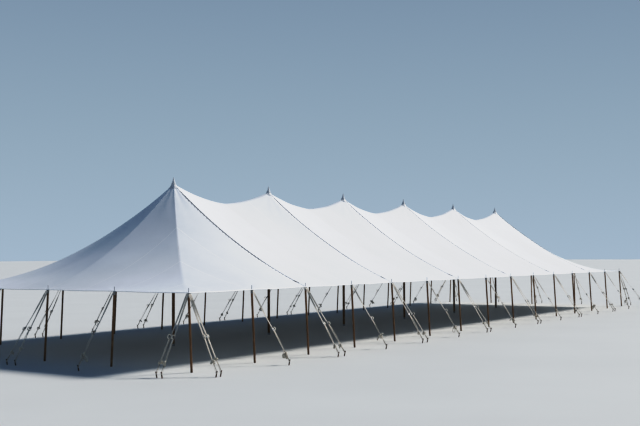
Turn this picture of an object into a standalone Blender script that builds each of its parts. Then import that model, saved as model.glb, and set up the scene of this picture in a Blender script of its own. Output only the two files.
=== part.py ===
# A pole marquee with six peaks, as a 1:2 model of a 12.2 m by 42.7 m tent.
# X runs along the ridge, Z is up, and the origin is on the ground under the middle of the roof.
# The near side, seen in the usual view, is at -Y. All sizes are in metres.

import math

import bmesh
import bpy
from mathutils import Matrix, Vector

# Layout
BAY = 1.524                    # from one side pole to the next
BAYS_PER_SECTION = 2           # bays along each middle section of the roof
BAYS_PER_END = 2               # bays from the last peak to the end
BAYS_WIDE = 4
MIDDLE_SECTIONS = 5
GAP = 0.0003                   # between pieces that touch

# Roof. Slack is 0 in a straight line from the high end to the low end.
EAVE_HEIGHT = 1.168
PEAK_HEIGHT = 3.085
RIDGE_SAG = 0.308              # of the ridge, midway between two peaks
RIDGE_SLACK = 0.74
SEAM_SLACK = 0.36
END_SLACK = 0.51
HIP_SLACK = 1.05
FABRIC = 0.004
HEM_LIP = 0.026                # of the flat hem beyond the poles' pins

# Peak caps
CAP_RADIUS = 0.095
CAP_RISE = 0.145               # of the tip over the peak of the roof
CAP_CURVE = 2.2
CAP_GAP = 0.0006

# Poles
CENTRE_POLE_RADIUS = 0.028
CENTRE_POLE_TIP_RADIUS = 0.008
SIDE_POLE_RADIUS = 0.0175
RING_LIP = 0.005               # of the guy ring beyond the side of its pole
RING_THICKNESS = 0.005
PIN_RADIUS = 0.005
PIN_RISE = 0.07                # of a pole's pin over the hem
PIN_CLEARANCE = 0.0005
FOOT_KICK = 0.06               # of a side pole's foot, outwards

# Guys
STRAP_WIDTH = 0.025
STRAP_THICKNESS = 0.003
STRAP_SEAT = 0.008             # of a strap's end, into its ring
TWIN_SPACING = 0.03            # between two straps on one ring
TWIN_SPREAD = 0.2              # between the stakes of two straps
CORNER_SPREAD = 0.1            # the same at a corner
SIDE_FAN = 0.2                 # of the stakes off a long side's corner, past the end of the tent
END_FAN = 0.1                  # of the stakes off an end's corner, past the side of the tent
GUY_REACH = 0.74               # from a pole's pin to the stake
GUY_FOOT = 0.06                # height at which a strap meets its stake
RATCHET_LENGTH = 0.07
RATCHET_WIDTH = 0.034
RATCHET_THICKNESS = 0.016
RATCHET_PLACE = 0.55           # share of the strap's length, from the ring
STAKE_RADIUS = 0.0095
STAKE_HEIGHT = 0.09
STAKE_LEAN = 0.02

# How finely the shapes are divided
ROOF_SEGMENTS_ACROSS = 8       # from a cap to the eave
ROOF_SEGMENTS_ALONG = 4        # of a middle section, between its two caps
END_SEGMENTS_PER_BAY = 2
CAP_SEGMENTS = 16
CENTRE_POLE_SEGMENTS = 12
SIDE_POLE_SEGMENTS = 8
STAKE_SEGMENTS = 6

HALF_WIDTH = BAYS_WIDE * BAY / 2
SECTION = BAYS_PER_SECTION * BAY
PEAKS = MIDDLE_SECTIONS + 1
LAST_PEAK = MIDDLE_SECTIONS * SECTION / 2
END = BAYS_PER_END * BAY
HALF_LENGTH = LAST_PEAK + END
BAYS_LONG = MIDDLE_SECTIONS * BAYS_PER_SECTION + 2 * BAYS_PER_END
RISE = PEAK_HEIGHT - EAVE_HEIGHT
RING_RADIUS = SIDE_POLE_RADIUS + RING_LIP
RING_TOP = EAVE_HEIGHT - FABRIC - GAP


def slack_line(share, slack):
    """Height, from 0 to 1, of a cloth that hangs between its low end at 0 and its high end at 1."""
    return share * (1 - slack * (1 - share))


def ridge_height(x):
    from_peak = (x + LAST_PEAK) % SECTION / SECTION
    share = abs(2 * from_peak - 1)
    return PEAK_HEIGHT - RIDGE_SAG * (1 - slack_line(share, RIDGE_SLACK))


def roof_height(x, y):
    """Height of the roof's upper face. The hem, outside the pins, is level."""
    across = abs(y) / HALF_WIDTH
    along = max(0.0, abs(x) - LAST_PEAK) / END
    if max(across, along) >= 1:
        return EAVE_HEIGHT
    if along == 0:
        crest = ridge_height(x) if abs(x) < LAST_PEAK else PEAK_HEIGHT
        return EAVE_HEIGHT + (crest - EAVE_HEIGHT) * slack_line(1 - across, SEAM_SLACK)
    if across >= along:
        slack = SEAM_SLACK + (HIP_SLACK - SEAM_SLACK) * along / across
    else:
        slack = END_SLACK + (HIP_SLACK - END_SLACK) * across / along
    return EAVE_HEIGHT + RISE * slack_line(1 - max(across, along), slack)


def roof_underside(x, y):
    return roof_height(x, y) - FABRIC


def collection(name):
    new = bpy.data.collections.new(name)
    bpy.context.scene.collection.children.link(new)
    return new


def material(name, colour, roughness, metallic=0.0):
    new = bpy.data.materials.new(name)
    new.use_nodes = True
    shader = new.node_tree.nodes["Principled BSDF"]
    shader.inputs["Base Color"].default_value = (*colour, 1)
    shader.inputs["Roughness"].default_value = roughness
    shader.inputs["Metallic"].default_value = metallic
    return new


def finish(name, shape, surface, group, crease):
    """An object from a bmesh, which it frees. Edges sharper than the crease angle stay sharp."""
    bmesh.ops.recalc_face_normals(shape, faces=shape.faces[:])
    mesh = bpy.data.meshes.new(name)
    shape.to_mesh(mesh)
    shape.free()
    mesh.shade_smooth()
    mesh.set_sharp_from_angle(angle=math.radians(crease))
    mesh.materials.append(surface)
    new = bpy.data.objects.new(name, mesh)
    group.objects.link(new)
    return new


def joined(shapes):
    """One bmesh of several, which stay separate bodies in it."""
    whole = bmesh.new()
    for shape in shapes:
        mesh = bpy.data.meshes.new("loose")
        shape.to_mesh(mesh)
        shape.free()
        whole.from_mesh(mesh)
        bpy.data.meshes.remove(mesh)
    return whole


def combine(target, operation, shapes, label, cutters):
    """Unites shapes with an object, or cuts them away, by a modifier. Straps overlap at a corner pole."""
    tool = finish(f"{target.name}_{label}", joined(shapes), target.data.materials[0], cutters, 30)
    tool.matrix_world = target.matrix_world
    tool.hide_render = True
    tool.display_type = "WIRE"
    modifier = target.modifiers.new(label, "BOOLEAN")
    modifier.operation = operation
    modifier.use_self = operation == "UNION"
    modifier.object = tool


def sheet(rows, columns, place, upper, lower):
    """A closed sheet. Its grid is laid out by place, and upper and lower give its two faces."""
    shape = bmesh.new()
    bmesh.ops.create_grid(shape, x_segments=columns, y_segments=rows, size=0.5)
    for vertex in shape.verts:
        column = round((vertex.co.x + 0.5) * columns)
        row = round((vertex.co.y + 0.5) * rows)
        x, y = place(column, row)
        vertex.co = (x, y, upper(x, y))
    bmesh.ops.remove_doubles(shape, verts=shape.verts[:], dist=GAP / 10)
    under = bmesh.ops.extrude_face_region(shape, geom=shape.faces[:])
    for element in under["geom"]:
        if isinstance(element, bmesh.types.BMVert):
            element.co.z = lower(element.co.x, element.co.y)
    return shape


def turned(profile, segments):
    """A solid turned about Z, from points (radius, height) that run up its outer side."""
    shape = bmesh.new()
    line = [shape.verts.new((radius, 0, height)) for radius, height in profile]
    edges = [shape.edges.new(pair) for pair in zip(line, line[1:])]
    bmesh.ops.spin(
        shape,
        geom=line + edges,
        cent=(0, 0, 0),
        axis=(0, 0, 1),
        angle=2 * math.pi,
        steps=segments,
        use_merge=True,
    )
    bmesh.ops.remove_doubles(shape, verts=shape.verts[:], dist=GAP / 10)
    return shape


def rod(radius, low, high, segments):
    return turned([(0, low), (radius, low), (radius, high), (0, high)], segments)


def block(size, frame):
    """A box of this size, placed by a matrix."""
    shape = bmesh.new()
    bmesh.ops.create_cube(shape, size=1, matrix=frame @ Matrix.Diagonal((*size, 1)))
    return shape


# Roof sections, from a grid of lines that are close together under the caps


def lines_from_peak(length, segments):
    """Distances from a peak: two short steps under its cap, then even steps."""
    rest = length - CAP_RADIUS
    return [0, CAP_RADIUS / 2] + [CAP_RADIUS + rest * k / segments for k in range(segments + 1)]


def pin_holes(section, pins, cutters):
    hole = PIN_RADIUS + PIN_CLEARANCE
    low = EAVE_HEIGHT - 2 * FABRIC
    high = EAVE_HEIGHT + FABRIC
    holes = []
    for pin in pins:
        shape = rod(hole, low, high, SIDE_POLE_SEGMENTS)
        bmesh.ops.translate(shape, verts=shape.verts[:], vec=pin)
        holes.append(shape)
    combine(section, "DIFFERENCE", holes, "pin_holes", cutters)


def middle_section(number, surface, group, cutters):
    start = -LAST_PEAK + (number - 1) * SECTION
    half = lines_from_peak(SECTION / 2, ROOF_SEGMENTS_ALONG // 2)
    xs = half + [SECTION - x for x in reversed(half[:-1])]
    xs[0] = GAP / 2
    xs[-1] = SECTION - GAP / 2
    side = lines_from_peak(HALF_WIDTH, ROOF_SEGMENTS_ACROSS) + [HALF_WIDTH + HEM_LIP]
    ys = [-y for y in reversed(side)] + side[1:]

    def place(column, row):
        return start + xs[column], ys[row]

    shape = sheet(len(ys) - 1, len(xs) - 1, place, roof_height, roof_underside)
    section = finish(f"roof_middle_{number}", shape, surface, group, 30)
    spots = [start + k * BAY for k in range(BAYS_PER_SECTION + 1)]
    pins = [(x, side * HALF_WIDTH, 0) for x in spots for side in (-1, 1)]
    pin_holes(section, pins, cutters)


def end_rim(bays):
    """A point on the line of pins, this many bays along it from the seam, relative to the peak."""
    half_way = BAYS_PER_END + BAYS_WIDE / 2
    side = 1 if bays > half_way else -1
    walked = half_way - abs(bays - half_way)
    if walked <= BAYS_PER_END:
        return Vector((walked * BAY, side * HALF_WIDTH))
    return Vector((END, side * (HALF_WIDTH - (walked - BAYS_PER_END) * BAY)))


def end_section(label, direction, surface, group, cutters):
    bays = 2 * BAYS_PER_END + BAYS_WIDE
    lines = lines_from_peak(HALF_WIDTH, ROOF_SEGMENTS_ACROSS) + [HALF_WIDTH + HEM_LIP]
    shares = [line / HALF_WIDTH for line in lines]

    def place(column, row):
        rim = end_rim(row / END_SEGMENTS_PER_BAY)
        x = LAST_PEAK + max(GAP / 2, shares[column] * rim.x)
        return direction * x, shares[column] * rim.y

    shape = sheet(bays * END_SEGMENTS_PER_BAY, len(shares) - 1, place, roof_height, roof_underside)
    section = finish(f"roof_end_{label}", shape, surface, group, 30)
    rims = [end_rim(k) for k in range(bays + 1)]
    pins = [(direction * (LAST_PEAK + rim.x), rim.y, 0) for rim in rims]
    pin_holes(section, pins, cutters)


def peak_cap(number, x_peak, surface, group):
    """A bonnet with a spire. Its skirt lies on the roof around the peak."""
    radii = [0, CAP_RADIUS / 4, CAP_RADIUS / 2, CAP_RADIUS]
    # The skirt's flat sides would cut into the cone of the roof, so it stands off a little more outwards.
    flare = 2 * (1 - math.cos(math.pi / CAP_SEGMENTS))

    def place(column, row):
        angle = 2 * math.pi * (row % CAP_SEGMENTS) / CAP_SEGMENTS
        return x_peak + radii[column] * math.cos(angle), radii[column] * math.sin(angle)

    def lower(x, y):
        return roof_height(x, y) + CAP_GAP + flare * math.hypot(x - x_peak, y)

    def upper(x, y):
        share = 1 - min(1, math.hypot(x - x_peak, y) / CAP_RADIUS)
        return lower(x, y) + FABRIC + CAP_RISE * share ** CAP_CURVE

    shape = sheet(CAP_SEGMENTS, len(radii) - 1, place, upper, lower)
    finish(f"peak_cap_{number}", shape, surface, group, 50)


# Poles and guys


def room_under_peak(x_peak, radius):
    """Height that a level disc of this radius reaches, centred under a peak."""
    angles = [math.radians(a) for a in range(0, 360, 5)]
    lowest = min(roof_underside(x_peak + radius * math.cos(a), radius * math.sin(a)) for a in angles)
    return lowest - GAP


def centre_pole(number, x_peak, surface, group):
    tip = room_under_peak(x_peak, CENTRE_POLE_TIP_RADIUS)
    shoulder = room_under_peak(x_peak, CENTRE_POLE_RADIUS)
    profile = [
        (0, 0),
        (CENTRE_POLE_RADIUS, 0),
        (CENTRE_POLE_RADIUS, shoulder),
        (CENTRE_POLE_TIP_RADIUS, tip),
        (0, tip),
    ]
    pole = finish(f"centre_pole_{number}", turned(profile, CENTRE_POLE_SEGMENTS), surface, group, 40)
    pole.location.x = x_peak


def guy_frame(head, foot):
    """A frame at a strap's head with X down the strap and Y level across it."""
    down = (foot - head).normalized()
    level = Vector((0, 0, 1)).cross(down).normalized()
    frame = Matrix((down, level, down.cross(level))).transposed().to_4x4()
    frame.translation = head
    return frame


def guy(outward, twin, foot_shift):
    """The strap, ratchet and stake of one guy, from a pole at the origin. twin is -1, 0 or 1 beside it."""
    along = Vector((-outward.y, outward.x, 0))
    head = outward * (RING_RADIUS - STRAP_SEAT) + along * twin * TWIN_SPACING / 2
    head.z = RING_TOP - RING_THICKNESS / 2
    foot = outward * GUY_REACH + along * foot_shift
    foot.z = GUY_FOOT
    frame = guy_frame(head, foot)
    length = (foot - head).length
    strap = block(
        (length, STRAP_WIDTH, STRAP_THICKNESS),
        frame @ Matrix.Translation((length / 2, 0, 0)),
    )
    ratchet = block(
        (RATCHET_LENGTH, RATCHET_WIDTH, RATCHET_THICKNESS),
        frame @ Matrix.Translation((length * RATCHET_PLACE, 0, 0)),
    )
    stake = rod(STAKE_RADIUS, 0, STAKE_HEIGHT, STAKE_SEGMENTS)
    for vertex in stake.verts:
        lean = STAKE_LEAN * (vertex.co.z - GUY_FOOT) / STAKE_HEIGHT
        vertex.co += Vector((foot.x, foot.y, 0)) + outward * lean
    return strap, ratchet, stake


def guyed_pole(name, pin, outward, guys, surface, group, cutters):
    """A side pole with its ring and pin, fused with the guys that pull its head outwards."""
    profile = [
        (0, 0),
        (SIDE_POLE_RADIUS, 0),
        (SIDE_POLE_RADIUS, RING_TOP - RING_THICKNESS),
        (RING_RADIUS, RING_TOP - RING_THICKNESS),
        (RING_RADIUS, RING_TOP),
        (PIN_RADIUS, RING_TOP),
        (PIN_RADIUS, EAVE_HEIGHT + PIN_RISE),
        (0, EAVE_HEIGHT + PIN_RISE),
    ]
    shape = turned(profile, SIDE_POLE_SEGMENTS)
    for vertex in shape.verts:
        if vertex.co.z < GAP:
            vertex.co += outward * FOOT_KICK
    pole = finish(name, shape, surface, group, 50)
    pole.matrix_world = Matrix.Translation(pin)
    straps, ratchets, stakes = zip(*[guy(*values) for values in guys])
    combine(pole, "UNION", straps, "straps", cutters)
    combine(pole, "UNION", ratchets, "ratchets", cutters)
    combine(pole, "UNION", stakes, "stakes", cutters)


def twin_guys(outward):
    return [(outward, twin, twin * TWIN_SPREAD / 2) for twin in (-1, 1)]


def corner_guys(outward, other_way, fan):
    """A pair that pulls one way at a corner, fanned towards the corner's other way."""
    along = Vector((-outward.y, outward.x, 0))
    shift = fan * round(along.dot(other_way))
    return [(outward, twin, shift + twin * CORNER_SPREAD / 2) for twin in (-1, 1)]


def carries_seam(pole):
    """Whether a seam of the roof ends at this pole of a long side, counted from 0."""
    past_end = pole - BAYS_PER_END
    return past_end % BAYS_PER_SECTION == 0 and 0 <= past_end <= MIDDLE_SECTIONS * BAYS_PER_SECTION


def long_side(label, side, surface, group, cutters):
    out = Vector((0, side, 0))
    for k in range(BAYS_LONG + 1):
        pin = Vector((k * BAY - HALF_LENGTH, side * HALF_WIDTH, 0))
        if k in (0, BAYS_LONG):
            end = Vector((math.copysign(1, pin.x), 0, 0))
            guys = corner_guys(out, end, SIDE_FAN) + corner_guys(end, out, END_FAN)
        elif carries_seam(k):
            guys = twin_guys(out)
        else:
            guys = [(out, 0, 0)]
        guyed_pole(f"guyed_pole_{label}_{k + 1:02d}", pin, out, guys, surface, group, cutters)


def short_side(label, end, surface, group, cutters):
    out = Vector((end, 0, 0))
    for k in range(1, BAYS_WIDE):
        pin = Vector((end * HALF_LENGTH, k * BAY - HALF_WIDTH, 0))
        guys = twin_guys(out) if k == BAYS_WIDE / 2 else [(out, 0, 0)]
        guyed_pole(f"guyed_pole_{label}_{k}", pin, out, guys, surface, group, cutters)


def build():
    for old in list(bpy.data.objects):
        bpy.data.objects.remove(old, do_unlink=True)
    tent = collection("marquee_tent")
    cutters = collection("cutters")
    cutters.hide_render = True

    vinyl = material("white_vinyl", (0.80, 0.82, 0.86), 0.45)
    cap_vinyl = material("cap_vinyl", (0.72, 0.73, 0.76), 0.5)
    wood = material("stained_wood", (0.19, 0.10, 0.05), 0.6)

    for number in range(1, MIDDLE_SECTIONS + 1):
        middle_section(number, vinyl, tent, cutters)
    for number in range(1, PEAKS + 1):
        x_peak = -LAST_PEAK + (number - 1) * SECTION
        centre_pole(number, x_peak, wood, tent)
        peak_cap(number, x_peak, cap_vinyl, tent)
    for label, side in (("near", -1), ("far", 1)):
        long_side(label, side, wood, tent, cutters)
    for label, end in (("left", -1), ("right", 1)):
        end_section(label, end, vinyl, tent, cutters)
        short_side(label, end, wood, tent, cutters)


build()
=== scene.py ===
# Pole marquee with six peaks, a half scale model: coated vinyl, wood, webbing and steel over the packed
# frame. X runs along the ridge, the near side is at -Y and Z is up. Lengths are metres at model size. A
# value that goes through real(), or whose name ends in Mm, is in millimetres on the full size tent.
import math
import random

import bmesh
import bpy
import numpy as np
from mathutils import Matrix, Vector


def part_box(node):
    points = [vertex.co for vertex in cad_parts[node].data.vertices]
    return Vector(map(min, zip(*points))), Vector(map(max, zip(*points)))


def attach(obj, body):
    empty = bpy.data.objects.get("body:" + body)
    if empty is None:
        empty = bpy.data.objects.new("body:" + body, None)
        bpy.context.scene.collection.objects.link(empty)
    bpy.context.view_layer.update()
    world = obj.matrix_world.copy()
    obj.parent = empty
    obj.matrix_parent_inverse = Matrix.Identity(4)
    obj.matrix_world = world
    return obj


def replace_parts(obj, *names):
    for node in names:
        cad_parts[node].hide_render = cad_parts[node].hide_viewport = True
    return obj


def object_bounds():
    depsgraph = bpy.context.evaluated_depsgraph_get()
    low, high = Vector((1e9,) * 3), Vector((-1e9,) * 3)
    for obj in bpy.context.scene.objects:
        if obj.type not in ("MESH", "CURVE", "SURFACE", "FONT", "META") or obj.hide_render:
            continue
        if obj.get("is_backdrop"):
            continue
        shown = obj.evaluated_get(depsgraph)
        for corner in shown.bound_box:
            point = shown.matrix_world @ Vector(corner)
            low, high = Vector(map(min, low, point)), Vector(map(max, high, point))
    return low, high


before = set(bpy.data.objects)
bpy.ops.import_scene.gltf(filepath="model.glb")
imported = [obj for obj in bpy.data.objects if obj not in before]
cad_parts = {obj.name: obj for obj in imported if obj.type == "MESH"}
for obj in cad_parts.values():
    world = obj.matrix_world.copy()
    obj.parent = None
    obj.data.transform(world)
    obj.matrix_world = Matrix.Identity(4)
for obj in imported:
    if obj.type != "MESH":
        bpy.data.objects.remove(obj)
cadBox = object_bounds()
print("frame: loaded", len(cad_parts), "nodes")
modelScale = 0.5
tiny = 1e-6


def real(mm):  # millimetres on the real tent, as metres on the model
    return mm / 1000 * modelScale


def hexColour(code):  # an sRGB hex value as linear RGBA
    parts = [int(code[i:i + 2], 16) / 255 for i in (1, 3, 5)]
    return (*[c / 12.92 if c <= 0.04045 else ((c + 0.055) / 1.055) ** 2.4 for c in parts], 1)


def setInputs(node, inputs):  # nodes and sockets are linked, hex strings are colours, the rest are values
    for name, value in inputs.items():
        if isinstance(value, bpy.types.Node):
            value = next(out for out in value.outputs if out.enabled)
        if isinstance(value, bpy.types.NodeSocket):
            node.id_data.links.new(value, node.inputs[name])
        else:
            node.inputs[name].default_value = hexColour(value) if isinstance(value, str) else value


def addNode(tree, kind, inputs=None, **settings):
    node = tree.nodes.new("ShaderNode" + kind)
    for name, value in settings.items():
        setattr(node, name, value)
    setInputs(node, inputs or {})
    return node


def newMaterial(name, inputs):
    made = bpy.data.materials.new(name)
    made.use_nodes = True
    setInputs(made.node_tree.nodes["Principled BSDF"], inputs)
    return made, made.node_tree


def surface(made, base, layers, relief=None, grooves=False, **inputs):
    # A layer is its share, the most that it covers and its colour. The lowest comes first.
    tree = made.node_tree
    for share, most, colour in layers:
        cover = addNode(tree, "Math", {0: share, 1: most}, operation="MULTIPLY")
        base = addNode(tree, "Mix", {0: cover, 6: base, 7: colour}, data_type="RGBA")
    if relief:
        inputs["Normal"] = addNode(tree, "Bump", relief, invert=grooves)
    setInputs(tree.nodes["Principled BSDF"], {"Base Color": base, **inputs})
    return made


def clothGrid(tree):  # metres across and along the piece
    parts = addNode(tree, "SeparateXYZ", {0: addNode(tree, "UVMap", uv_map="metres")})
    return parts.outputs["X"], parts.outputs["Y"]


def linesEvery(tree, value, *sizesMm):  # 1 on lines, 0 between: their spacing, width and soft edge
    spacing, width, soft = (real(mm) for mm in sizesMm)
    away = addNode(tree, "Math", {0: value, 1: spacing / 2}, operation="PINGPONG")
    return addNode(tree, "MapRange", {"Value": away, "From Min": width / 2 + soft, "From Max": width / 2})


def slantedLines(tree, turnMm, sizesMm):  # yarns or strands that slant one way and then the other
    across, along = clothGrid(tree)
    zigzag = addNode(tree, "Math", {0: across, 1: real(turnMm)}, operation="PINGPONG")
    slant = addNode(tree, "Math", {0: along, 1: zigzag}, operation="ADD")
    return linesEvery(tree, slant, *sizesMm)


def patches(tree, spot, noise, start, full):  # a noise, and patches that grow between two of its levels
    cloud = addNode(tree, "TexNoise", {"Vector": spot, **noise})
    return cloud, addNode(tree, "MapRange", {"Value": cloud, "From Min": start, "From Max": full})


def splashes(tree, spot, rise, cloud):  # earth that rain has thrown up to this height, broken up by a noise
    height = addNode(tree, "SeparateXYZ", {0: spot}).outputs["Z"]
    low = addNode(tree, "MapRange", {"Value": height, "From Min": rise, "From Max": 0.0})
    return addNode(tree, "Math", {0: low, 1: cloud}, operation="MULTIPLY")


# Coated vinyl: white PVC laminated over a polyester scrim. Smooth and slightly glossy, cool white, with
# welded overlaps between its panels, a painted shadow line along both sides of each weld, and faint marks
# where it was folded for transport.
vinylLook = {
    "white": "#E4E8EE",
    # the underside, greyer than the top: painted shade under the roof
    "inside": "#D6D8DA",
    "shader": {"Roughness": 0.58, "IOR": 1.53},  # IOR of PVC
    "gloss": {"To Min": 0.51, "To Max": 0.7},  # roughness of its smoothest and roughest places
    "dust": (0.55, "#CDD1D6"),   # the most that a layer covers, and its colour
    "dustNoise": ({"Scale": 0.7, "Detail": 5.0, "Roughness": 0.62}, 0.35, 0.8),
    "panelMm": 1524,         # cloth width between welds
    "weld": (0.55, "#F1F3F6"),
    "weldMm": (45, 4),       # overlap of two panels, and its soft edge
    "rim": (0.45, "#C3C8CF"),    # painted shadow: a darker line along both sides of a weld
    "weldShadowMm": (61, 6),        # over the weld and both painted shadow lines
    "foldMm": 900,           # between the fold marks
    "foldCells": 0.75,       # how uneven their cells are
    "foldShape": {"From Max": 0.02, "To Min": 0.35, "To Max": 0.0},
    "scrimMm": 22,           # the real scrim is 2.8 mm, drawn coarse so that it shows up close
    "scrimRelief": 12.0,     # beside the relief of a weld
    "relief": {"Strength": 0.35, "Distance": real(1.5)},
}


def coatedVinyl(name, colour):
    look = vinylLook
    made, tree = newMaterial(name, look["shader"])
    across, along = clothGrid(tree)
    spot = addNode(tree, "TexCoord").outputs["Object"]
    cloud, dust = patches(tree, spot, *look["dustNoise"])
    cells = {"Vector": spot, "Scale": 1 / real(look["foldMm"]), "Randomness": look["foldCells"]}
    creases = addNode(tree, "TexVoronoi", cells, feature="DISTANCE_TO_EDGE")
    fold = addNode(tree, "MapRange", {"Value": creases, **look["foldShape"]})
    weld = linesEvery(tree, across, look["panelMm"], *look["weldMm"])
    weldAndShadowLines = linesEvery(tree, across, look["panelMm"], *look["weldShadowMm"])
    # rim is the painted shadow along both sides of a weld
    rim = addNode(tree, "Math", {0: weldAndShadowLines, 1: weld}, operation="SUBTRACT")
    raised = addNode(tree, "Math", {0: fold, 1: weld}, operation="ADD")
    half = real(look["scrimMm"]) / 2
    warp = addNode(tree, "Math", {0: across, 1: half}, operation="PINGPONG")
    weft = addNode(tree, "Math", {0: along, 1: half}, operation="PINGPONG")
    scrim = addNode(tree, "Math", {0: warp, 1: weft}, operation="MINIMUM")
    height = addNode(tree, "Math", {0: scrim, 1: look["scrimRelief"], 2: raised}, operation="MULTIPLY_ADD")
    gloss = addNode(tree, "MapRange", {"Value": cloud, **look["gloss"]})
    layers = [(dust, *look["dust"]), (rim, *look["rim"]), (weld, *look["weld"])]
    return surface(made, colour, layers, {"Height": height, **look["relief"]}, Roughness=gloss)


# Sewn vinyl: the same cloth folded double and stitched, so whiter, with rows of stitches along it.
sewnLook = {
    "white": "#F3F5F7",
    "bonnet": "#C0C4C9",
    # the weather flap: charcoal vinyl, and darker as painted shade of the lacing gap
    "flap": "#4B4E54",
    "shader": {**vinylLook["shader"], "Roughness": 0.5},
    "grime": (0.5, "#CDD1D6"),
    "grimeNoise": ({"Scale": 3.0, "Detail": 6.0}, 0.45, 0.9),
    "thread": (1, "#AEB2B6"),
    "threadMm": (3, 1),
    "stitchMm": (16, 9.6, 1),  # stitches are 5 mm, drawn longer so that they show
    "rowsMm": 36,            # between the rows of stitches on a hem
    "bonnetRowsMm": 118,     # and on a bonnet, along its seams
    "relief": {"Strength": 0.5, "Distance": real(1.5)},
}


def sewnVinyl(name, colour, rowsMm):
    look = sewnLook
    made, tree = newMaterial(name, look["shader"])
    across, along = clothGrid(tree)
    row = linesEvery(tree, across, rowsMm, *look["threadMm"])
    dash = linesEvery(tree, along, *look["stitchMm"])
    stitches = addNode(tree, "Math", {0: row, 1: dash}, operation="MULTIPLY")
    grime = patches(tree, addNode(tree, "TexCoord").outputs["Object"], *look["grimeNoise"])[1]
    layers = [(grime, *look["grime"]), (stitches, *look["thread"])]
    return surface(made, colour, layers, {"Height": stitches, **look["relief"]}, grooves=True)


# Woven polyester webbing: grey-beige flat yarn in a herringbone, dull, soiled towards the ground.
webbingLook = {
    "yarn": "#CBC5BA",
    "spare": "#DDD8CC",
    "tape": "#DEDFDD",
    "shader": {"Roughness": 0.82, "Sheen Weight": 0.25},
    "shadow": (0.45, "#898276"),
    "yarnMm": (5, 1.5, 1),   # real yarns are 1.5 mm apart, drawn coarser
    "chevronMm": 8,          # half the width of the herringbone
    "soil": (0.8, "#6B6355"),
    "soilRise": 0.35,        # height to which mud has splashed
    "soilNoise": {"Scale": 9.0, "Detail": 6.0},
    "relief": {"Strength": 0.6, "Distance": real(1)},
}


def wovenWebbing(name, colour):
    look = webbingLook
    made, tree = newMaterial(name, look["shader"])
    yarn = slantedLines(tree, look["chevronMm"], look["yarnMm"])
    spot = addNode(tree, "TexCoord").outputs["Object"]
    cloud = addNode(tree, "TexNoise", {"Vector": spot, **look["soilNoise"]})
    soil = splashes(tree, spot, look["soilRise"], cloud)
    layers = [(yarn, *look["shadow"]), (soil, *look["soil"])]
    return surface(made, colour, layers, {"Height": yarn, **look["relief"]}, grooves=True)


# Stained pine: turned poles, brown, with long dark grain, rubbed paler where they are handled.
pineLook = {
    "dark": "#4A301D",
    "light": (1, "#94704A"),
    "shader": {"Roughness": 0.62},
    "grainMm": (12, 12, 900),  # growth lines drawn about twice as wide as real ones, and a streak's length
    "grainNoise": ({"Scale": 1.0, "Detail": 7.0, "Roughness": 0.6, "Distortion": 0.4}, 0.36, 0.64),
    "rubbed": (0.6, "#B59770"),
    "rubNoise": ({"Scale": 5.0, "Detail": 5.0}, 0.55, 0.72),
    "earth": (1, "#2A2018"),
    "earthRise": 0.09,
    "relief": {"Strength": 0.5, "Distance": real(1.5)},
}


def stainedPine():
    look = pineLook
    made, tree = newMaterial("stained_turned_pine", look["shader"])
    spot = addNode(tree, "TexCoord").outputs["Object"]
    stretch = tuple(1 / real(mm) for mm in look["grainMm"])
    stretched = addNode(tree, "Mapping", {"Vector": spot, "Scale": stretch})
    grain, streaks = patches(tree, stretched, *look["grainNoise"])
    cloud, rub = patches(tree, spot, *look["rubNoise"])
    earth = splashes(tree, spot, look["earthRise"], cloud)
    layers = [(streaks, *look["light"]), (rub, *look["rubbed"]), (earth, *look["earth"])]
    return surface(made, look["dark"], layers, {"Height": grain, **look["relief"]})


# Hot dip galvanised steel: grey metal with crystal spangle and a dull bloom.
zincLook = {
    "bright": "#A9ACAE",
    "dull": (1, "#6F7375"),
    "shader": {"Roughness": 0.42, "Metallic": 1.0},
    "gloss": {"To Min": 0.32, "To Max": 0.57},
    "spangleMm": 9,
}


def galvanisedSteel():
    look = zincLook
    made, tree = newMaterial("galvanised_steel", look["shader"])
    spot = addNode(tree, "TexCoord").outputs["Object"]
    spangle = addNode(tree, "TexVoronoi", {"Vector": spot, "Scale": 1 / real(look["spangleMm"])})
    grey, other, _ = addNode(tree, "SeparateColor", {0: spangle.outputs["Color"]}).outputs
    gloss = addNode(tree, "MapRange", {"Value": other, **look["gloss"]})
    return surface(made, look["bright"], [(grey, *look["dull"])], Roughness=gloss)


# Forged stake steel: black scale, with brown rust in patches where it has worn off.
stakeLook = {
    "scale": "#3B3632",
    "rust": (1, "#6B4630"),
    "shader": {"Roughness": 0.66, "Metallic": 0.55},
    "rustNoise": ({"Scale": 1 / real(45), "Detail": 8.0, "Roughness": 0.7}, 0.45, 0.6),
    "relief": {"Strength": 0.6, "Distance": real(2)},
}


def forgedSteel():
    look = stakeLook
    made, tree = newMaterial("forged_rusty_steel", look["shader"])
    cloud, rust = patches(tree, addNode(tree, "TexCoord").outputs["Object"], *look["rustNoise"])
    return surface(made, look["scale"], [(rust, *look["rust"])], {"Height": cloud, **look["relief"]})


# Braided polypropylene cord: grey or white, waxy, with the slanting strands of a braid and painted shade in
# the grooves between them.
braidLook = {
    "grey": "#85888D",
    "white": "#D5D8DB",
    "shader": {"Roughness": 0.6},
    # painted shade in the grooves between the strands
    "grooveShade": (1, "#3E4045"),
    "turnMm": 7,
    "strandMm": (7, 2.1, 1.5),
    "relief": {"Strength": 0.6, "Distance": real(1)},
}


def braidedCord(name, colour):
    look = braidLook
    made, tree = newMaterial(name, look["shader"])
    strand = slantedLines(tree, look["turnMm"], look["strandMm"])
    relief = {"Height": strand, **look["relief"]}
    return surface(made, colour, [(strand, *look["grooveShade"])], relief, grooves=True)


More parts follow.
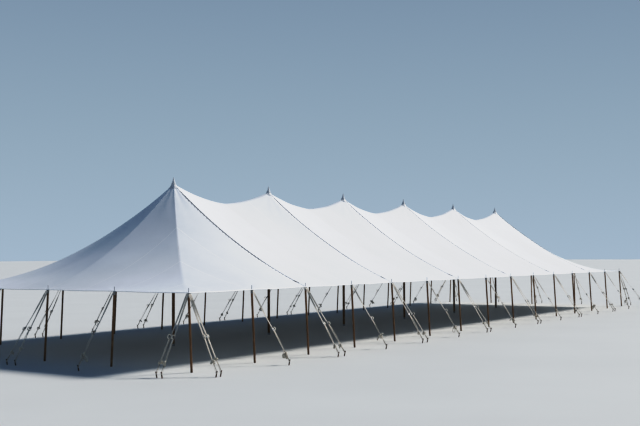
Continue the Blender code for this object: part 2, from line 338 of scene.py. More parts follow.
roofVinyl = coatedVinyl("coated_vinyl_welded_panels", vinylLook["white"])
# The underside's copy is greyer than the top: painted shade under the roof.
paintedShadeInsideVinyl = coatedVinyl("coated_vinyl_inside_painted_shade", vinylLook["inside"])
hemVinyl = sewnVinyl("sewn_vinyl_hem", sewnLook["white"], sewnLook["rowsMm"])
bonnetVinyl = sewnVinyl("sewn_vinyl_bonnet", sewnLook["bonnet"], sewnLook["bonnetRowsMm"])
# The flap's dark colour is its own and painted shade of the gap between the sections.
paintedShadeFlapVinyl = sewnVinyl("sewn_vinyl_lacing_flap_painted_shade", sewnLook["flap"], sewnLook["rowsMm"])
guyWebbing = wovenWebbing("woven_polyester_webbing", webbingLook["yarn"])
spareWebbing = wovenWebbing("woven_polyester_webbing_unweathered", webbingLook["spare"])
seamWebbing = wovenWebbing("woven_polyester_seam_tape", webbingLook["tape"])
pine = stainedPine()
zinc = galvanisedSteel()
forged = forgedSteel()
lacingCord = braidedCord("braided_polypropylene_cord", braidLook["grey"])
drawCord = braidedCord("braided_polypropylene_drawcord", braidLook["white"])
print("materials: made", len(bpy.data.materials))


def addObject(name, data):
    made = bpy.data.objects.new(name, data)
    bpy.context.scene.collection.objects.link(made)
    return made


class Shape:  # points and faces that gather into one mesh, with UVs in metres
    def __init__(self):
        self.points = []
        self.faces = []
        self.corners = []
        self.looks = []

    def add(self, points, faces, corners, look=0):
        first = len(self.points)
        self.points += [tuple(p) for p in points]
        self.faces += [[first + i for i in face] for face in faces]
        self.corners += corners
        self.looks += [look] * len(faces)

    def addShape(self, other, matrix):
        self.add([matrix @ Vector(p) for p in other.points], other.faces, other.corners)

    def toObject(self, name, slotName, materials, crease=40):  # rides on the one body
        mesh = bpy.data.meshes.new(name)
        mesh.from_pydata(self.points, [], self.faces)
        flat = [value for face in self.corners for corner in face for value in corner]
        mesh.uv_layers.new(name="metres").uv.foreach_set("vector", flat)
        mesh.polygons.foreach_set("material_index", self.looks)
        for material in materials:
            mesh.materials.append(material)
        work = bmesh.new()
        work.from_mesh(mesh)
        bmesh.ops.recalc_face_normals(work, faces=work.faces[:])
        work.to_mesh(mesh)
        work.free()
        mesh.shade_smooth()
        mesh.set_sharp_from_angle(angle=math.radians(crease))
        made = addObject(name, mesh)
        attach(made, "root")
        return made


def gridCells(grid):  # the four corners of each cell of a grid
    corners = np.stack([grid[:-1, :-1], grid[:-1, 1:], grid[1:, 1:], grid[1:, :-1]], axis=2)
    return corners.reshape(-1, *corners.shape[2:]).tolist()


def walkedLengths(points):  # along a closed line, from its first point and back to it
    return np.append(0, np.cumsum(np.linalg.norm(np.roll(points, -1, axis=0) - points, axis=1)))


def loft(shape, rings, look=0, closed=False, caps=(0, -1)):  # closed joins the last ring to the first
    rings = np.array(rings, float)
    index = np.arange(rings[..., 0].size).reshape(rings.shape[:2])
    index = np.hstack([index, index[:, :1]])
    if closed:
        index = np.vstack([index, index[:1]])
    along = walkedLengths(rings[:, 0])[:len(index), None]
    uvs = np.stack(np.broadcast_arrays(walkedLengths(rings[0]), along), axis=-1)
    faces = gridCells(index)
    corners = gridCells(uvs)
    for cap in () if closed else caps:
        faces.append(index[cap, :-1].tolist())
        corners.append(uvs[cap, :-1].tolist())
    shape.add(rings.reshape(-1, 3).tolist(), faces, corners, look)


def circle(sides):  # cosines and sines of points round a circle
    turn = 2 * np.pi * np.arange(sides) / sides
    return np.cos(turn), np.sin(turn)


def tube(shape, path, radius, sides, look=0, closed=False):
    path = [Vector(p) for p in path]
    rings = []
    side = None
    for i, point in enumerate(path):
        before = path[i - 1] if i or closed else point
        after = path[(i + 1) % len(path)] if i + 1 < len(path) or closed else point
        ahead = (after - before).normalized()
        if side is None:
            side = ahead.orthogonal().normalized()
        side = (side - ahead * side.dot(ahead)).normalized()
        other = ahead.cross(side)
        rings.append([point + (side * c + other * s) * radius for c, s in zip(*circle(sides))])
    loft(shape, rings, look, closed)


def turned(shape, profile, sides, matrix):  # profile points are (radius, height)
    rings = []
    for radius, z in profile:
        rings.append([matrix @ Vector((radius * c, radius * s, z)) for c, s in zip(*circle(sides))])
    loft(shape, rings)


def ribbon(shape, strap, width, thickness, look=0):  # strap holds points and their ways across
    rings = []
    edge = thickness / 2
    for i, wide in enumerate(np.broadcast_to(width, len(strap))):
        point, across = strap[i]
        ahead = (strap[min(i + 1, len(strap) - 1)][0] - strap[max(i - 1, 0)][0]).normalized()
        side = (across - ahead * across.dot(ahead)).normalized()
        out = side.cross(ahead)
        half = float(wide) / 2
        flat = half - edge
        section = [(-half, 0), (-flat, edge), (flat, edge), (half, 0), (flat, -edge), (-flat, -edge)]
        rings.append([point + side * u + out * w for u, w in section])
    loft(shape, rings, look)


def plate(shape, length, height, thickness, corner, matrix):  # rounded plate across Y
    radius = min(length, height) * corner
    outline = []
    for cx, cz, start in ((1, 1, 0), (-1, 1, 90), (-1, -1, 180), (1, -1, 270)):
        for step in (0, 45, 90):
            angle = math.radians(start + step)
            x = cx * (length / 2 - radius) + radius * math.cos(angle)
            outline.append((x, cz * (height / 2 - radius) + radius * math.sin(angle)))
    loft(shape, [[matrix @ Vector((x, y, z)) for x, z in outline] for y in (-thickness / 2, thickness / 2)])


def thicken(made, thickness, insideLook=0):
    solid = made.modifiers.new("cloth_thickness", "SOLIDIFY")
    solid.thickness = thickness
    solid.offset = -1
    solid.material_offset = insideLook


# Roof shape. Slack is 0 in a straight line from the high end to the low end.
roofForm = {
    "hemLip": 0.026,         # of the hem beyond the pins
    "frameFabric": 0.004,    # of the frame's roof solids
    "ridgeSag": 0.308,
    "ridgeSlack": 0.74,
    "seamSlack": 0.36,
    "endSlack": 0.51,
    "hipSlack": 1.05,
    "middleSections": 5,
    "baysPerSection": 2,
    "baysWide": 4,
}
sectionLow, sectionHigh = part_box("roof_middle_1")
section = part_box("roof_middle_2")[0].x - sectionLow.x
bay = section / roofForm["baysPerSection"]
lastPeak = section * roofForm["middleSections"] / 2
halfWidth = sectionHigh.y - roofForm["hemLip"]
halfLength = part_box("roof_end_right")[1].x - roofForm["hemLip"]
endLength = halfLength - lastPeak
eaveHeight = sectionLow.z + roofForm["frameFabric"]
peakHeight = sectionHigh.z
peaks = [-lastPeak + k * section for k in range(roofForm["middleSections"] + 1)]
baysLong = round(2 * halfLength / bay)
rimShare = 1 + roofForm["hemLip"] / halfWidth  # share of the slope at the hem's outer edge
print("roof: eave", round(eaveHeight, 3), "peaks", round(peakHeight, 3), "bays", baysLong)


def slackLine(share, slack):
    return share * (1 - slack * (1 - share))


def roofHeight(x, y):  # the frame's roof, as arrays
    form = roofForm
    across = np.abs(y) / halfWidth
    along = np.maximum(0, np.abs(x) - lastPeak) / endLength
    share = np.abs(2 * ((x + lastPeak) % section / section) - 1)
    crest = peakHeight - form["ridgeSag"] * (1 - slackLine(share, form["ridgeSlack"]))
    middle = eaveHeight + (crest - eaveHeight) * slackLine(1 - across, form["seamSlack"])
    outer = np.maximum(across, along)
    base = np.where(across >= along, form["seamSlack"], form["endSlack"])
    slack = base + (form["hipSlack"] - base) * np.minimum(across, along) / np.maximum(outer, 1e-9)
    end = eaveHeight + (peakHeight - eaveHeight) * slackLine(1 - outer, slack)
    return np.where(outer >= 1, eaveHeight, np.where(along > 0, end, middle))


def fade(value, low, high):
    share = np.clip((value - low) / (high - low), 0, 1)
    return share * share * (3 - 2 * share)


# Tension in the cloth: small folds fan out from the pins and peaks, seams pucker at each lace, panels
# pillow a little between their welds, and the hem dips between the poles.
tension = {
    "pinFolds": (0.0028, 0.13, 11),  # height, reach and number
    "peakFolds": (0.0022, 0.2, 14),
    "foldsEnd": 7,           # times their reach
    "foldsTurn": 1.7,        # radians from one fan to the next
    "settle": 0.09,          # the folds settle this close to the eave
    "pucker": 0.0022,
    "puckerReach": 0.035,
    "pillow": 0.0022,
    "hipFlat": (0.02, 0.25),
    "drifts": (              # broad unevenness: height, and how X, Y and a shift make two waves that cross
        (0.0035, (2.3, 0.8, 0.0), (0.9, -2.9, 1.0)),
        (0.00175, (4.1, -1.7, 2.0), (5.0, 2.2, 0.0)),
    ),
    "hemDip": 0.006,
    "hemDipReach": 0.35,
}
pinXs = np.linspace(-halfLength, halfLength, baysLong + 1)
pinYs = np.linspace(-halfWidth, halfWidth, roofForm["baysWide"] + 1)[1:-1]
pins = [(x, side * halfWidth) for side in (-1, 1) for x in pinXs]
pins += [(side * halfLength, y) for side in (-1, 1) for y in pinYs]
lacingPitch = real(150)


def fanFolds(x, y, spots, height, reach, count):
    total = np.zeros_like(x)
    for number, (px, py) in enumerate(spots):
        away = np.hypot(x - px, y - py) / reach
        near = away < tension["foldsEnd"]
        angle = np.arctan2(y[near] - py, x[near] - px)
        wave = np.cos(count * angle + number * tension["foldsTurn"])
        total[near] += height * away[near] * np.exp(1 - away[near]) * wave
    return total


def cloth(x, y):  # the roof's upper face with its small folds
    form = tension
    across = np.abs(y) / halfWidth
    along = np.maximum(0, np.abs(x) - lastPeak) / endLength
    inside = (1 - np.maximum(across, along)) * halfWidth
    run = np.where(along > across, y + halfWidth, x + halfLength)
    detail = fanFolds(x, y, pins, *form["pinFolds"])
    detail += fanFolds(x, y, [(px, 0) for px in peaks], *form["peakFolds"])
    fromSeam = np.min([np.abs(x - px) for px in peaks], axis=0)
    loops = (1 + np.cos(2 * np.pi * np.abs(y) / lacingPitch)) / 2
    detail -= form["pucker"] * np.exp(-fromSeam / form["puckerReach"]) * loops
    fromHip = fade(np.abs(across - along) * halfWidth, *form["hipFlat"]) * (along > 0) + (along <= 0)
    detail += form["pillow"] * np.abs(np.sin(np.pi * run / real(vinylLook["panelMm"]))) * fromHip
    for height, *waves in form["drifts"]:
        detail += height * np.prod([np.sin(a * x + b * y + c) for a, b, c in waves], axis=0)
    dip = (1 - np.cos(2 * np.pi * run / bay)) / 2
    hem = form["hemDip"] * dip * (1 - fade(inside, 0.0, form["hemDipReach"]))
    return roofHeight(x, y) + detail * fade(inside, 0.0, form["settle"]) - hem


def clothPoints(x, y, lift=0.0):
    x, y = np.broadcast_arrays(np.asarray(x, float), np.asarray(y, float))
    return np.stack([x, y, cloth(x, y) + lift], axis=-1)


# Roof membrane, one laced section at a time. Each edge stands back from its seam, so that the lacing shows.
membrane = {
    "thickness": real(3),    # real vinyl is 0.6 mm, drawn thicker so that its edge shows
    "columns": 74,           # along a middle section
    "rows": 80,              # from the ridge to the pins
    "crowding": 0.06,        # of the rows towards both ends
    "stepsPerBay": 24,       # round an end section
    "slopeStretch": 1.2,     # length of the slope over its width on plan
    "peakHole": 0.009,       # radius left open round the pin of a centre pole
    "laceClosed": real(11),
    "laceWide": real(54),
    "laceWideAtEnds": real(70),
    "opensAt": (0.03, 0.1),  # shares of the slope, from the ridge
    "closesAt": (0.64, 0.8),
    "endCut": 0.97,          # share of an end's flat size that its cut fills
}
endWays = {"left_end": -1, "right_end": 1}
spans = {"left_end": (-halfLength, peaks[0])}  # of each section along X
spans.update({str(k + 1): (px, px + section) for k, px in enumerate(peaks[:-1])})
spans["right_end"] = (peaks[-1], halfLength)


def laceGap(share, seam):  # width left between two sections at this share of the slope
    form = membrane
    wide = form["laceWideAtEnds"] if seam in (0, len(peaks) - 1) else form["laceWide"]
    opening = fade(share, *form["opensAt"]) * (1 - fade(share, *form["closesAt"]))
    return form["laceClosed"] + (wide - form["laceClosed"]) * opening


def membraneObject(part, node, x, y, corners):
    shape = Shape()
    faces = gridCells(np.arange(x.size).reshape(x.shape))
    shape.add(clothPoints(x, y).reshape(-1, 3).tolist(), faces, corners)
    made = shape.toObject(f"roof_vinyl_{part}", "roof_vinyl", [roofVinyl, paintedShadeInsideVinyl], crease=180)
    if sum(p.normal.z for p in made.data.polygons) < 0:
        made.data.flip_normals()
    thicken(made, membrane["thickness"], insideLook=1)
    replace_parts(made, node)


def slopeShares():  # shares of the slope from ridge to hem edge, closer together near the ends
    even = np.linspace(0, 1, membrane["rows"] + 1)
    return np.append(even + membrane["crowding"] * np.sin(2 * np.pi * even) / np.pi, rimShare)


def endRim(stepsPerBay):  # the pin line round an end, from seam to seam: distances from the seam, and Y
    seamToEnd = endLength / bay
    halfWay = seamToEnd + roofForm["baysWide"] / 2
    rim = []
    for walked in np.linspace(0, 2 * halfWay, round(2 * halfWay) * stepsPerBay + 1):
        side = 1 if walked > halfWay else -1
        walked = halfWay - abs(walked - halfWay)
        past = max(0, walked - seamToEnd) * bay
        rim.append((min(walked * bay, endLength), side * (halfWidth - past)))
    return np.array(rim)


def middleSection(number):
    shares = slopeShares()
    shares = np.concatenate([-shares[:0:-1], shares])[:, None]
    left, right = (laceGap(np.abs(shares), seam) / 2 for seam in (number - 1, number))
    step = np.linspace(0, 1, membrane["columns"] + 1)[None, :]
    x = peaks[number - 1] + left + step * (section - left - right)
    y = np.broadcast_to(shares * halfWidth, x.shape)
    u = np.broadcast_to(step * section, x.shape)
    corners = gridCells(np.stack([u, np.abs(y) * membrane["slopeStretch"]], axis=-1))
    membraneObject(number, f"roof_middle_{number}", x, y, corners)


def endSection(part, node, seam):
    rim = endRim(membrane["stepsPerBay"])[None, :]
    shares = slopeShares()
    shares[0] = membrane["peakHole"] / halfWidth
    shares = shares[:, None]
    gap = laceGap(shares, seam) / 2
    away = gap + shares * rim[..., 0] * (endLength - gap) / endLength
    y = shares * rim[..., 1]
    onEnd = np.broadcast_to(rim[..., 0] >= endLength - tiny, y.shape)
    onEnd = (onEnd[:-1, :-1] & onEnd[:-1, 1:]).reshape(-1, 1, 1)
    stretch = membrane["slopeStretch"]
    sideUvs = gridCells(np.stack([away, np.abs(y) * stretch], axis=-1))
    endUvs = gridCells(np.stack([y + halfWidth, away * stretch], axis=-1))
    corners = np.where(onEnd, endUvs, sideUvs).tolist()
    x = endWays[part] * (lastPeak + away)
    membraneObject(part, node, x, y, corners)


endSection("left_end", "roof_end_left", 0)
for number in range(1, roofForm["middleSections"] + 1):
    middleSection(number)
endSection("right_end", "roof_end_right", len(peaks) - 1)
print("roof: membrane sections", len(spans))


# Hems: the edge of each section folded over and sewn, with a rope bead at the rim and along the laced
# edges, a doubled patch and a grommet at each pin, and seam tape under the ridge, hips and laced edges.
hemForm = {
    "inner": real(62),       # of the band, from the pins inwards
    "lift": real(3),
    "bead": real(12),
    "edgeBead": real(6),
    "edgeBeadLift": 0.3,     # share of it
    "edgeFrom": 0.028,       # share of the slope
    "patchLong": real(190),
    "patchLift": real(5),
    "patchOut": 0.7,         # of a patch beyond the pins, as a share of the band's inner width
    "grommetRadius": real(19),
    "grommetWire": real(4),
    "tapeWide": real(75),
    "tapeThick": real(2.5),
    "tapeFrom": 0.04,        # shares of the slope
    "tapeTo": 0.96,
    "ridgeTapeInset": 0.08,
    "clear": 0.002,          # of a seam
    "stepsPerBay": 24,
}
hemUnder = -membrane["thickness"] - hemForm["lift"]


def laidStrip(shape, path, across, wide, low, high, segments=4):
    # A strip that lies on the cloth. Its points are path + across * u, for u from wide[0] to wide[1].
    us = np.linspace(*wide, segments + 1)[None, :]
    path, across = (np.asarray(vectors, float)[:, :, None] for vectors in (path, across))
    top = clothPoints(path[:, 0] + across[:, 0] * us, path[:, 1] + across[:, 1] * us)
    loft(shape, np.concatenate([top + (0, 0, high), top[:, ::-1] + (0, 0, low)], axis=1))


def eaveWalk(part):  # the pin line along a section's eave, in stretches, with vectors that point inwards
    clear = hemForm["clear"]
    if part not in endWays:
        low, high = spans[part]
        xs = np.linspace(low + clear, high - clear, hemForm["stepsPerBay"] * roofForm["baysPerSection"] + 1)
        return [([(x, side * halfWidth) for x in xs], [(0, -side)] * len(xs)) for side in (-1, 1)]
    way = endWays[part]
    rim = endRim(hemForm["stepsPerBay"])
    inwards = [
        (-way if x >= endLength - tiny else 0, -math.copysign(1, y) if abs(y) >= halfWidth - tiny else 0)
        for x, y in rim
    ]
    return [([(way * (lastPeak + max(x, clear)), y) for x, y in rim], inwards)]


def insidePart(part, x, spare=0.0):
    low, high = spans[part]
    return low - spare <= x <= high + spare


def lacedSides(part):  # a section's seams: number, place, way from there to the section, and side
    for seam, px in enumerate(peaks):
        if insidePart(part, px, tiny):
            away = 1 if insidePart(part, px + bay / 2) else -1
            yield from ((seam, px, away, side) for side in (-1, 1))


def hemPiece(part):
    form = hemForm
    bead = form["edgeBead"]
    shape = Shape()
    for path, inwards in eaveWalk(part):
        laidStrip(shape, path, inwards, (-roofForm["hemLip"], form["inner"]), hemUnder, form["lift"], 7)
        outer = np.asarray(path) - np.asarray(inwards) * roofForm["hemLip"]
        tube(shape, clothPoints(outer[:, 0], outer[:, 1], -membrane["thickness"] / 2), form["bead"], 10)
    for seam, px, away, side in lacedSides(part):
        shares = np.linspace(form["edgeFrom"], rimShare, 90)
        x = px + away * laceGap(shares, seam) / 2
        tube(shape, clothPoints(x, side * shares * halfWidth, bead * form["edgeBeadLift"]), bead, 8)
    half = form["patchLong"] / 2
    for px, py in pins:
        if not insidePart(part, px, tiny):
            continue
        if abs(abs(px) - halfLength) < tiny and abs(py) < halfWidth - tiny:
            patch = [(px, py + t) for t in np.linspace(-half, half, 7)]
            side = (-math.copysign(1, px), 0)
        else:
            patch = [(px + t, py) for t in np.linspace(-half, half, 7) if insidePart(part, px + t)]
            side = (0, -math.copysign(1, py))
        if len(patch) > 1:
            wide = (-form["inner"] * form["patchOut"], form["inner"])
            laidStrip(shape, patch, [side] * len(patch), wide, form["lift"] * 0.5, form["patchLift"], 5)
    shape.toObject(f"hem_{part}", "roof_vinyl", [hemVinyl], crease=50)


def tapePiece(part):
    form = hemForm
    shape = Shape()
    low = -membrane["thickness"] - form["tapeThick"]
    high = -membrane["thickness"]
    half = form["tapeWide"] / 2
    shares = np.linspace(form["tapeFrom"], form["tapeTo"], 46)

    def tape(path, side, segments=4):
        laidStrip(shape, path, [side] * len(path), (-half, half), low, high, segments)

    for seam, px, away, side in lacedSides(part):
        x = px + away * (laceGap(shares, seam) / 2 + half)
        tape(np.stack([x, side * shares * halfWidth], axis=-1), (1, 0), 3)
    if part in endWays:
        way = endWays[part]
        turn = math.sqrt(0.5)
        for y, normal in ((-halfWidth, (way * turn, turn)), (halfWidth, (way * turn, -turn)), (0, (0, 1))):
            tape([(way * (lastPeak + s * endLength), y * s) for s in shares], normal)
    else:
        start, end = spans[part]
        inset = form["ridgeTapeInset"]
        tape([(x, 0) for x in np.linspace(start + inset, end - inset, 49)], (0, 1))
    shape.toObject(f"seam_tape_{part}", "guy_webbing", [seamWebbing], crease=50)


def grommetRings():
    form = hemForm
    shape = Shape()
    radius = form["grommetRadius"]
    height = eaveHeight + form["patchLift"]
    for px, py in pins:
        path = [(px + radius * c, py + radius * s, height) for c, s in zip(*circle(20))]
        tube(shape, path, form["grommetWire"], 6, closed=True)
    shape.toObject("hem_grommets", "steel", [zinc])


for make in (hemPiece, tapePiece):
    for part in spans:
        make(part)
grommetRings()
print("hems: bands, beads, patches, grommets and seam tape")


# Lacing: grey cord through grommets in both edges of a seam, over a dark weather flap whose colour is
# partly painted shade of the gap, tied off at the eave.
lacingForm = {
    "cord": real(5.5),       # radius
    "overlap": real(22),     # of the cord's turns over each edge
    "overlapAtPeak": 0.35,   # share of it
    "overlapGrows": (0.03, 0.12),  # shares of the slope
    "lift": real(9),
    "liftAtEdge": 0.55,      # share of it
    "grommetRadius": real(9),
    "grommetWire": real(2.5),
    "grommetLift": real(2),
    "flapShares": (0.01, 1.0, 120),  # of the slope, first and last, and their number
    "flapLow": real(9),
    "flapThick": real(2),
    "flapOverlap": real(30),
    "from": 0.034,           # shares of the slope
    "to": 0.955,
    "knotAt": 0.93,
    "stepsPerTurn": 3,
    "knotTurns": 5,
    "knotLift": 1.6,         # in radii of the cord
    "knotThick": 1.2,
    "knotWide": real(26),
    "knotLong": real(110),
    "tailLong": real(260),
    "tailFrom": -0.3,        # shares of that length, beside the knot
    "tailTo": 0.5,
    "tailSwing": 2.4,        # radians
}


def lacingPiece(seam):
    form = lacingForm
    px = peaks[seam]
    shape = Shape()
    turns = round((form["to"] - form["from"]) * halfWidth / (lacingPitch / 2))
    shares = np.linspace(form["from"], form["to"], turns + 1)
    near = form["overlapAtPeak"]
    grown = near + (1 - near) * fade(shares, *form["overlapGrows"])
    reach = laceGap(shares, seam) / 2 + form["overlap"] * grown
    every = np.arange(turns + 1)
    xs = px + np.where(every % 2 == 0, -1, 1) * reach
    steps = np.arange(turns * form["stepsPerTurn"] + 1) / form["stepsPerTurn"]
    arch = form["liftAtEdge"] + (1 - form["liftAtEdge"]) * np.sin(np.pi * (steps % 1))
    ringX, ringY = (form["grommetRadius"] * values[None, :] for values in circle(6))
    flapShares = np.linspace(*form["flapShares"])[:, None]
    flapXs = px + (laceGap(flapShares, seam) / 2 + form["flapOverlap"]) * np.linspace(-1, 1, 5)[None, :]
    for side in (-1, 1):
        ys = side * shares * halfWidth
        path = clothPoints(np.interp(steps, every, xs), np.interp(steps, every, ys))
        tube(shape, path + arch[:, None] * (0, 0, form["lift"]), form["cord"], 6)
        for ring in clothPoints(xs[:, None] + ringX, ys[:, None] + ringY, form["grommetLift"]):
            tube(shape, ring, form["grommetWire"], 3, look=1, closed=True)
        # the flap under the gap, whose dark colour is partly painted shade
        flap = clothPoints(flapXs, side * flapShares * halfWidth, -form["flapLow"])
        loft(shape, np.concatenate([flap, flap[:, ::-1] - (0, 0, form["flapThick"])], axis=1), look=2)
        tieOff(shape, px, side)
    shape.toObject(f"lacing_{seam + 1}", "roof_vinyl", [lacingCord, zinc, paintedShadeFlapVinyl])


def tieOff(shape, px, side):  # the cord's knot and loose tail beside the eave
    form = lacingForm
    start = form["knotAt"] * halfWidth
    t = np.linspace(0, 1, 61)
    turns = 2 * np.pi * form["knotTurns"] * t
    y = side * (start + form["knotLong"] * (t - 0.5) + form["cord"] * np.sin(turns))
    knot = clothPoints(px + form["knotWide"] * np.cos(turns), y, form["cord"] * form["knotLift"])
    knot[:, 2] += form["cord"] * (1 + np.sin(2 * turns))
    tube(shape, knot, form["cord"] * form["knotThick"], 8)
    t = np.linspace(0, 1, 25)
    x = px + form["knotWide"] * (1 + np.sin(form["tailSwing"] * t))
    y = side * (start + form["tailLong"] * np.linspace(form["tailFrom"], form["tailTo"], 25))
    tube(shape, clothPoints(x, y, form["cord"]), form["cord"], 8)


for seam in range(len(peaks)):
    lacingPiece(seam)
print("lacing: seams laced", len(peaks))


# Bonnets: sewn vinyl caps over the peaks, pleated into a spire and drawn in by a cord.
bonnetForm = {
    "radius": 0.095,
    "rise": 0.147,
    "curve": 2.3,
    "seat": real(7),         # of the skirt over the cloth
    "seatEase": 0.4,         # share of it that is lost towards the tip
    "thickness": real(3),
    "pleats": 8,
    "pleatDepth": real(6),
    "rings": 24,
    "ringCurve": 1.3,        # crowds the rings towards the tip
    "segments": 56,
    "tipRadius": real(9),
    "tipRings": (0.8, 0.45), # shares of the tip's radius
    "hemBead": real(4),
    "drawcord": real(3.5),
    "drawcordAt": 0.5,       # share of the skirt's radius at which it runs
    "drawcordDip": real(8),  # by which the cord draws the vinyl in
    "drawcordReach": 0.06,
    "drawcordLevel": 0.65,   # it is drawn tight, so it is nearly level over the pleats
    "flatSize": 3.2,         # width of the flat square, in radii of the skirt
    "flatCut": 0.7,          # share of the square that the cut fills
}


def bonnetRing(px, radius, lift=0.0):
    form = bonnetForm
    cosines, sines = circle(form["segments"])
    x, y = px + radius * cosines, radius * sines
    share = max(0, 1 - radius / form["radius"])
    pleat = form["pleatDepth"] * np.sin(form["pleats"] * np.arctan2(y, x - px)) * 4 * share * (1 - share)
    drawn = form["drawcordDip"] * np.exp(-(((share - 1 + form["drawcordAt"]) / form["drawcordReach"]) ** 2))
    rise = form["seat"] * (1 - form["seatEase"] * share) + form["rise"] * share ** form["curve"]
    return np.stack([x, y, roofHeight(x, y) + rise + pleat - drawn + lift], axis=-1)


def bonnetPiece(number, px):
    form = bonnetForm
    tip = form["tipRadius"]
    shape = Shape()
    shares = np.linspace(1, 0, form["rings"]) ** form["ringCurve"]
    rings = [bonnetRing(px, tip + (form["radius"] - tip) * share) for share in shares]
    top = rings[-1][:, 2].mean()
    for share in form["tipRings"]:
        ring = bonnetRing(px, tip * share)
        ring[:, 2] = top + tip * math.sqrt(1 - share * share)
        rings.append(ring)
    loft(shape, rings, caps=(-1,))
    made = shape.toObject(f"bonnet_{number}", "cap_vinyl", [bonnetVinyl], crease=60)
    thicken(made, form["thickness"])
    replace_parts(made, f"peak_cap_{number}")
    trim = Shape()
    cordLine = bonnetRing(px, form["radius"] * form["drawcordAt"], form["drawcord"])
    level = form["drawcordLevel"]
    cordLine[:, 2] = cordLine[:, 2] * (1 - level) + cordLine[:, 2].max() * level
    tube(trim, cordLine, form["drawcord"], 8, closed=True)
    tube(trim, bonnetRing(px, form["radius"]), form["hemBead"], 8, look=1, closed=True)
    cord = trim.toObject(f"bonnet_drawcord_{number}", "cap_vinyl", [drawCord, bonnetVinyl])


for number, px in enumerate(peaks, 1):
    bonnetPiece(number, px)
print("bonnets: made", len(peaks))


# Poles: turned pine with a steel ferrule. A side pole carries a ring for the guys and a pin that stands up
# through the hem, and its foot is kicked outwards. A centre pole's pin goes up through the peak.
poleForm = {
    "radius": 0.0175,
    "centreRadius": 0.028,
    "ringRadius": 0.0225,
    "ringThick": 0.005,
    "ringEdge": real(1.5),
    "pinRadius": 0.005,
    "pinRise": 0.07,
    "pinTip": ((1, 1), (0.8, 0.4), (0.3, 0)),  # radius, and distance from the tip, in radii of the pin
    "centrePin": ((0.0075, -real(16)), (0.0075, real(60)), (0.005, real(70))),  # radius, and over the peak
    "footKick": 0.06,
    "ferruleLong": real(110),
    "ferruleThick": real(2.5),
    "ferruleClear": real(1),
    "shoeLong": real(90),
    "shoeSole": real(12),
    "shoulder": real(130),   # from a centre pole's wood up to the peak
    "neck": (0.62, real(40)),    # the steel above it: share of the pole's radius, and height
    "peakOff": 0.012,        # from the peak to where the cloth rests on the steel
    "sides": 24,
    "waver": real(1.2),      # unevenness of the turned surface
    "rounding": real(9),
    "woodFoot": ((0.7, 0), (0.2, 0.35)),  # by how much it is narrower and how high, in roundings
    "woodRings": 15,
}
ringTop = eaveHeight + hemUnder - real(0.6)
poleHead = ringTop - poleForm["ringThick"]


def leaning(shape, profile, foot, head, look=0, waver=0.0):  # profile points are (radius, height)
    turn = np.linspace(0, 2 * np.pi, poleForm["sides"], endpoint=False)
    rings = []
    for radius, z in profile:
        x, y, _ = foot + (head - foot) * ((z - foot.z) / (head.z - foot.z))
        wide = radius + waver * np.sin(2 * turn + 7 * z + x) * np.sin(11 * z + y)
        rings.append(np.stack([x + wide * np.cos(turn), y + wide * np.sin(turn), 0 * turn + z], axis=-1))
    loft(shape, rings, look)


def bevelled(radius, low, high, inset, edge):  # a round bar's profile, whose ends are narrower by the inset
    return [(radius - inset, low), (radius, low + edge), (radius, high - edge), (radius - inset, high)]


def ferrule(radius, low, high):
    lip = poleForm["ferruleThick"]
    return bevelled(radius + poleForm["ferruleClear"] + lip, low, high, lip, lip)


def poleWood(name, node, radius, low, high, foot, head):  # a round pole with eased ends
    ease = poleForm["rounding"]
    profile = [(radius - ease * less, low + ease * up) for less, up in poleForm["woodFoot"]]
    zs = np.linspace(low + ease, high - ease * 0.2, poleForm["woodRings"])
    profile += [(radius, z) for z in (*zs, high)]
    wood = Shape()
    leaning(wood, profile, foot, head, waver=poleForm["waver"])
    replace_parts(wood.toObject(name, "pole_wood", [pine]), node)


def sidePole(name, pin, outward):
    form = poleForm
    foot = pin + outward * form["footKick"]
    head = pin + Vector((0, 0, poleHead))
    radius, edge, thin = form["radius"], form["ringEdge"], form["pinRadius"]
    tip = eaveHeight + form["pinRise"]
    poleWood(f"side_pole_{name}", f"guyed_pole_{name}", radius, 0, poleHead, foot, head)
    steel = Shape()
    leaning(steel, ferrule(radius, poleHead - form["ferruleLong"], poleHead), foot, head)
    leaning(steel, bevelled(form["ringRadius"], poleHead, ringTop, edge, edge), pin, head)
    rod = [(thin * wide, tip - thin * off) for wide, off in form["pinTip"]]
    leaning(steel, [(thin, ringTop - real(1)), *rod], pin, head)
    return steel


def centrePole(number, px):
    form = poleForm
    top = float(roofHeight(px + form["peakOff"], 0.0)) - membrane["thickness"]
    foot = Vector((px, 0, 0))
    head = Vector((px, 0, top))
    radius = form["centreRadius"]
    shoulder = top - form["shoulder"]
    node = f"centre_pole_{number}"
    poleWood(f"centre_pole_wood_{number}", node, radius, form["shoeSole"], shoulder, foot, head)
    steel = Shape()
    leaning(steel, ferrule(radius, 0, form["shoeLong"]), foot, head)
    collar = ferrule(radius, shoulder - form["ferruleLong"], shoulder)
    neckShare, neckHigh = form["neck"]
    collar.append((radius * neckShare, shoulder + neckHigh))
    collar += [(wide, top + high) for wide, high in form["centrePin"]]
    leaning(steel, collar, foot, head)
    steel.toObject(f"centre_pole_steel_{number}", "steel", [zinc])


for number, px in enumerate(peaks, 1):
    centrePole(number, px)
print("centre poles: made", len(peaks))


